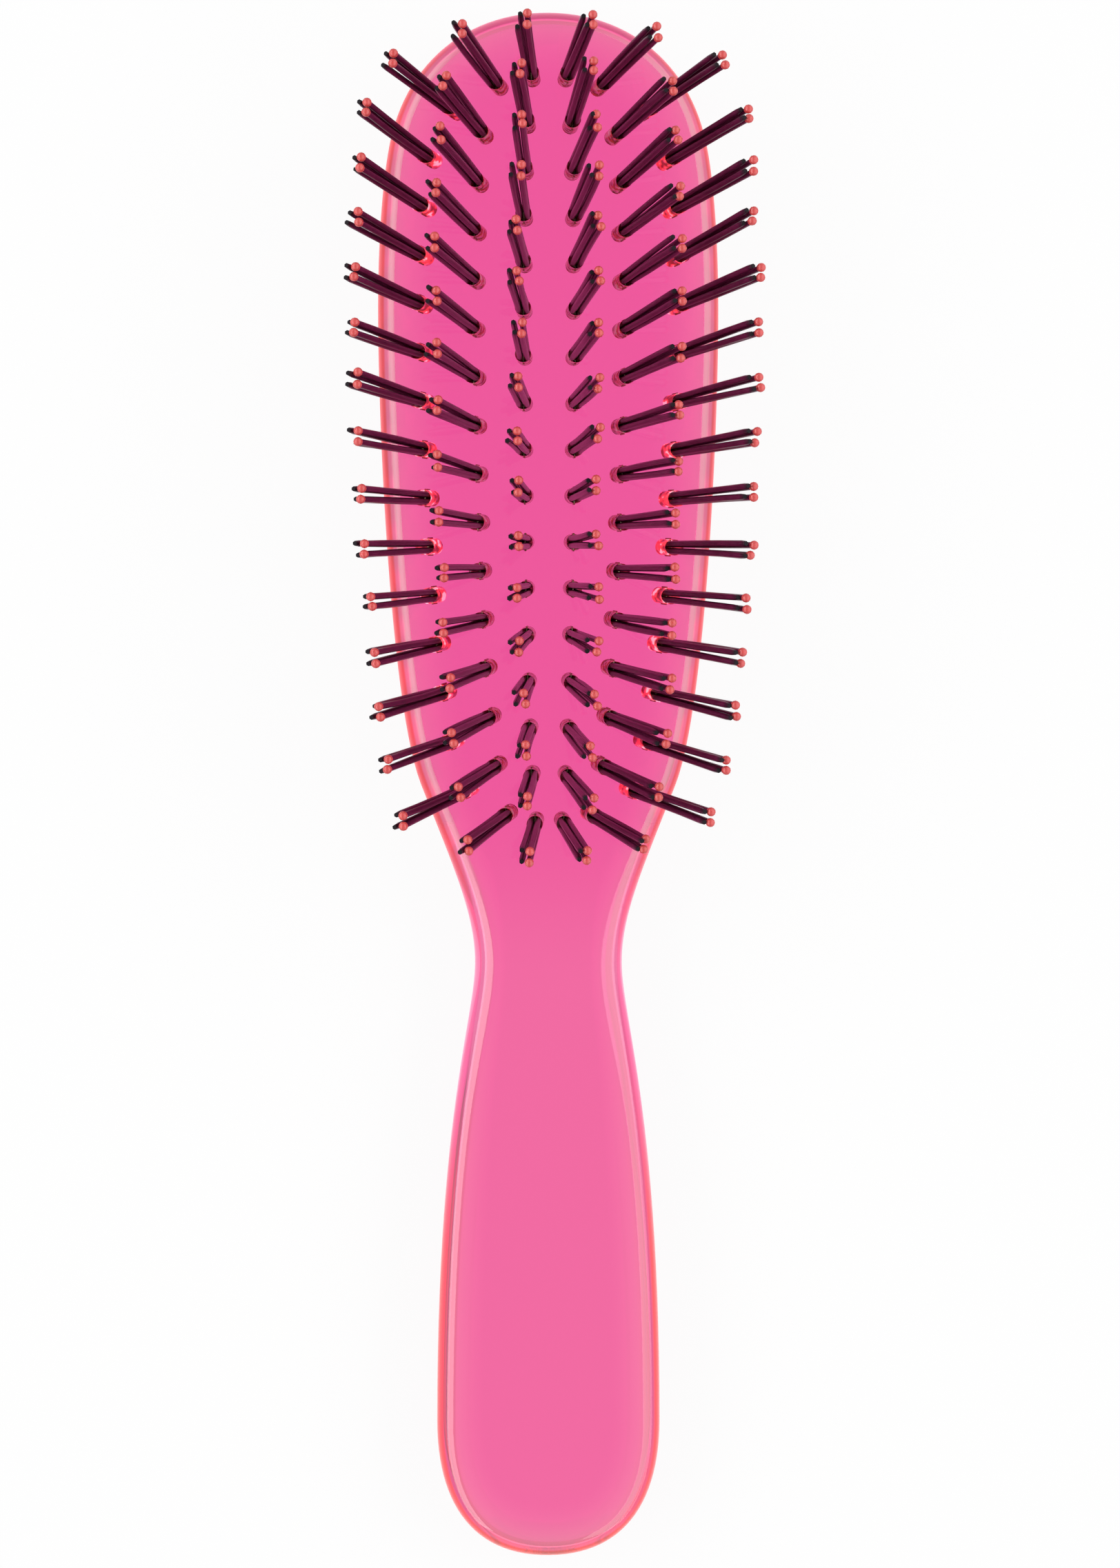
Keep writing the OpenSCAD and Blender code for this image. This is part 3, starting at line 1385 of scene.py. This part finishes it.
@dataclass
class StrandColumn(TuftColumn):
    """The folded strands of one column of tufts."""

    kind: str = "strands"
    slot: str = "strand"
    nodes: tuple[str, ...] = ("toe_strands", "heel_strands")
    smooth_angle: float = 65.0
    sides: int = 6
    cut_taper: float = 0.75

    def master(self) -> Piece:
        """Models a strand as a straight tube with a ring at each whole metre of its length.

        Returns:
            The tube, whose Z counts the rings, with its cut end at the bottom.
        """
        last = len(self.shape.strand(self.tufts[0], StrandPlace.TOE)) - 1
        clear_selection()
        bpy.ops.mesh.primitive_cylinder_add(
            vertices=self.sides,
            radius=self.shape.strand_d / 2.0 * MM,
            depth=float(last),
            location=(0.0, 0.0, last / 2.0),
        )
        tube = fresh_primitive("straight_strand")
        bpy.ops.object.transform_apply(location=True)
        with editing(tube):
            for ring in range(1, last):
                bpy.ops.mesh.select_all(action="SELECT")
                bpy.ops.mesh.bisect(plane_co=(0.0, 0.0, float(ring)), plane_no=(0.0, 0.0, 1.0))
        marks = tube.data.attributes.new(Mark.CUT.value, "FLOAT", "POINT")
        for vert, mark in zip(tube.data.vertices, marks.data):
            if round(vert.co.z) > 0:
                continue
            mark.value = 1.0
            vert.co.x *= self.cut_taper
            vert.co.y *= self.cut_taper
        return tube

    def lay(self, tube: Piece, route: Sequence[Vector], across: Vector) -> None:
        """Bends a copy of the straight strand along its route.

        Args:
            tube: The copy.
            route: The middle of the strand, one point for each ring.
            across: A direction square to the fold, which keeps the tube from twisting.
        """
        frames = []
        for at, point in enumerate(route):
            before = route[max(at - 1, 0)]
            after = route[min(at + 1, len(route) - 1)]
            ahead = (after - before).normalized()
            outward = across.cross(ahead).normalized()
            frames.append((point, outward, ahead.cross(outward)))
        for vert in tube.data.vertices:
            point, outward, sideways = frames[round(vert.co.z)]
            vert.co = point + outward * vert.co.x + sideways * vert.co.y

    def placed(self, master: Piece) -> list[Piece]:
        """Lays the strands of all the tufts.

        Args:
            master: The straight strand.

        Returns:
            The strands.
        """
        strands = []
        for tuft in self.tufts:
            across = tuft.frame().to_3x3() @ Vector((0.0, 1.0, 0.0))
            for place in StrandPlace:
                tube = copied(master, "strand")
                self.lay(tube, self.shape.strand(tuft, place), across)
                strands.append(tube)
        return strands


@dataclass
class BallTipColumn(TuftColumn):
    """The resin beads on the tipped legs of one column of tufts."""

    kind: str = "beads"
    slot: str = "ball_tip"
    nodes: tuple[str, ...] = ("ball_tips",)
    smooth_angle: float = 60.0
    ball_d: float = 1.3
    roundness: int = 2
    neck: float = 0.28

    def master(self) -> Piece:
        """Models one bead: round at its top and drawn a little down the strand.

        Returns:
            The bead, with its middle at the origin and the strand below it.
        """
        radius = self.ball_d / 2.0 * MM
        clear_selection()
        bpy.ops.mesh.primitive_ico_sphere_add(subdivisions=self.roundness, radius=radius)
        bead = fresh_primitive("bead")
        with editing(bead):
            work = bmesh.from_edit_mesh(bead.data)
            for vert in work.verts:
                low = max(-vert.co.z, 0.0)
                vert.co.z -= self.neck * low * low / radius
            bmesh.update_edit_mesh(bead.data)
        return bead

    def placed(self, master: Piece) -> list[Piece]:
        """Sets a bead on each tipped leg.

        Args:
            master: The bead.

        Returns:
            The beads.
        """
        beads = []
        for tuft, place in product(self.tufts, StrandPlace):
            *_, below, end = self.shape.strand(tuft, place)
            turn = Vector((0.0, 0.0, 1.0)).rotation_difference((end - below).normalized())
            bead = copied(master, "bead")
            bead.data.transform(Matrix.Translation(end) @ turn.to_matrix().to_4x4())
            beads.append(bead)
        return beads


@dataclass
class AnchorColumn(TuftColumn):
    """The metal strips that hold the folds of one column of tufts in their holes."""

    kind: str = "strips"
    slot: str = "anchor"
    nodes: tuple[str, ...] = ("anchors",)
    smooth_angle: float = 30.0
    gauge: float = 0.25
    width: float = 2.6
    height: float = 1.3
    edge_break: float = 0.05

    def master(self) -> Piece:
        """Models one anchor in its tuft's own frame.

        Returns:
            The anchor, with broken edges.
        """
        middle = self.shape.strand_d + self.height / 2.0 - self.shape.hole_depth
        clear_selection()
        bpy.ops.mesh.primitive_cube_add(size=1.0)
        strip = fresh_primitive("strip")
        strip.scale = mm(self.gauge, self.width, self.height)
        strip.location = mm(0.0, 0.0, middle)
        bpy.ops.object.transform_apply(location=True, scale=True)
        broken = strip.modifiers.new("edge_break", "BEVEL")
        broken.width = self.edge_break * MM
        broken.segments = 1
        bpy.ops.object.modifier_apply(modifier=broken.name)
        return strip

    def placed(self, master: Piece) -> list[Piece]:
        """Sets an anchor in each hole.

        Args:
            master: The anchor.

        Returns:
            The anchors.
        """
        strips = []
        for tuft in self.tufts:
            strip = copied(master, "strip")
            strip.data.transform(tuft.frame())
            strips.append(strip)
        return strips


@dataclass(frozen=True)
class Lamp:
    """A soft rectangular lamp that points at the middle of the brush. Sizes are in metres."""

    name: str
    place: Vector
    length: float
    height: float
    watts: float
    role: LampRole

    def light(self) -> bpy.types.Object:
        """Hangs the lamp.

        Returns:
            The lamp.
        """
        clear_selection()
        bpy.ops.object.light_add(type="AREA", location=self.place)
        lamp = fresh_primitive(self.name)
        lamp.rotation_euler = (-self.place).to_track_quat("-Z", "Y").to_euler()
        lamp.data.shape = "RECTANGLE"
        lamp.data.size = self.length
        lamp.data.size_y = self.height
        lamp.data.energy = self.watts
        lamp.visible_camera = False
        lamp.visible_diffuse = self.role is LampRole.FILL
        lamp.visible_glossy = self.role is LampRole.CARD
        lamp.visible_transmission = False
        return lamp


@dataclass
class Studio:
    """A white floor, soft light from all round, and a camera above the brush.

    The sizes of the floor and the lamps, and the camera's near limit, are in metres.
    """

    floor_size: float = 12.0
    floor_gap: float = 0.2
    floor_light: float = 0.92
    paper: Colour = (0.9, 0.9, 0.9)
    horizon: float = 1.0
    zenith: float = 0.35
    lamps: tuple[Lamp, ...] = (
        Lamp("left_softbox", Vector((-0.8, 0.1, 0.6)), 1.2, 0.5, 5.0, LampRole.FILL),
        Lamp("right_softbox", Vector((0.8, 0.1, 0.6)), 1.2, 0.5, 5.0, LampRole.FILL),
        Lamp("left_card", Vector((-0.86, 0.0, 0.5)), 3.0, 0.8, 30.0, LampRole.CARD),
        Lamp("right_card", Vector((0.8, 0.0, 0.6)), 3.0, 1.45, 31.0, LampRole.CARD),
    )
    aim: tuple[float, float, float] = (1.65, 0.0, 6.0)
    camera_distance: float = 560.0
    camera_tilt: float = 2.6
    sensor: float = 36.0
    lens: float = 90.05
    near_limit: float = 0.01

    def floor_material(self) -> bpy.types.Material:
        """Builds the floor: white to the eye, to gloss and through the acrylic, with a shadow.

        Returns:
            The material.
        """
        board = NodeBoard("white_floor")
        paper = board.add("ShaderNodeBsdfDiffuse")
        board.put(self.paper, paper.inputs["Color"])
        lit = board.add("ShaderNodeEmission")
        path = board.add("ShaderNodeLightPath")
        seen = path.outputs[RayKind.CAMERA.value]
        for kind in (RayKind.GLOSSY, RayKind.TRANSMISSION):
            seen = board.larger(seen, path.outputs[kind.value])
        mix = board.add("ShaderNodeMixShader")
        board.link(board.mapped(seen, (0.0, self.floor_light)), mix.inputs[0])
        board.link(paper.outputs[0], mix.inputs[1])
        board.link(lit.outputs[0], mix.inputs[2])
        board.link(mix.outputs[0], board.output.inputs["Surface"])
        return board.material

    def lay_floor(self) -> bpy.types.Object:
        """Lays the floor just under the back of the brush.

        Returns:
            The floor.
        """
        under = mm(0.0, 0.0, -self.floor_gap)
        clear_selection()
        bpy.ops.mesh.primitive_plane_add(size=self.floor_size, location=under)
        floor = fresh_primitive("floor")
        floor.data.materials.append(self.floor_material())
        return floor

    def fill_with_light(self) -> None:
        """Sets up the world, bright round the horizon and dimmer overhead, and the lamps."""
        world = bpy.data.worlds.new("studio_air")
        bpy.context.scene.world = world
        world.use_nodes = True
        tree = world.node_tree
        sky = tree.nodes["Background"]
        place = tree.nodes.new("ShaderNodeTexCoord")
        height = tree.nodes.new("ShaderNodeSeparateXYZ")
        fall = tree.nodes.new("ShaderNodeMapRange")
        fall.inputs["To Min"].default_value = self.horizon
        fall.inputs["To Max"].default_value = self.zenith
        tree.links.new(place.outputs["Generated"], height.inputs[0])
        tree.links.new(height.outputs["Z"], fall.inputs["Value"])
        tree.links.new(fall.outputs["Result"], sky.inputs["Strength"])
        sky.inputs["Color"].default_value = (*WHITE, 1.0)
        for lamp in self.lamps:
            lamp.light()

    def set_camera(self) -> bpy.types.Object:
        """Hangs the camera nearly straight above the brush, a little to its left.

        Returns:
            The camera.
        """
        tilt = math.radians(self.camera_tilt)
        back = Vector((-math.sin(tilt), 0.0, math.cos(tilt)))
        clear_selection()
        bpy.ops.object.camera_add(location=mm(*self.aim) + back * self.camera_distance * MM)
        camera = fresh_primitive("camera")
        camera.rotation_euler = Euler((0.0, -tilt, 0.0))
        camera.data.sensor_fit = "VERTICAL"
        camera.data.sensor_height = self.sensor
        camera.data.lens = self.lens
        camera.data.dof.use_dof = False
        camera.data.clip_start = self.near_limit
        bpy.context.scene.camera = camera
        return camera

    def set_up(self) -> None:
        """Sets up everything round the brush."""
        bpy.context.scene.view_settings.view_transform = "Standard"
        self.lay_floor()
        self.fill_with_light()
        self.set_camera()


@dataclass
class StylingBrush:
    """The whole brush: the body and six columns of strands, beads and anchors."""

    outline: Outline = field(default_factory=Outline)
    shape: TuftShape = field(default_factory=TuftShape)
    acrylic: AcrylicFinish = field(default_factory=AcrylicFinish)
    nylon: NylonFinish = field(default_factory=NylonFinish)
    resin: ResinFinish = field(default_factory=ResinFinish)
    metal: StripMetalFinish = field(default_factory=StripMetalFinish)

    def build(self) -> list[Piece]:
        """Builds every piece.

        Returns:
            The pieces, the body first.
        """
        layout = TuftLayout(self.outline)
        pieces = [Body(self.outline, layout, self.acrylic).build()]
        kinds = (
            (StrandColumn, self.nylon.material()),
            (BallTipColumn, self.resin.material()),
            (AnchorColumn, self.metal.material()),
        )
        for side, column in product(Side, Column):
            tufts = layout.column(side, column)
            for kind, finish in kinds:
                pieces.append(kind(self.shape, side, column, tufts, finish).build())
        return pieces


def main() -> None:
    """Builds the studio and the brush, and reports each piece."""
    logging.basicConfig(level=logging.INFO, format="%(name)s %(message)s")
    Studio().set_up()
    pieces = StylingBrush().build()
    LOG.info("%d pieces in all", len(pieces))


if __name__ == "__main__":
    main()
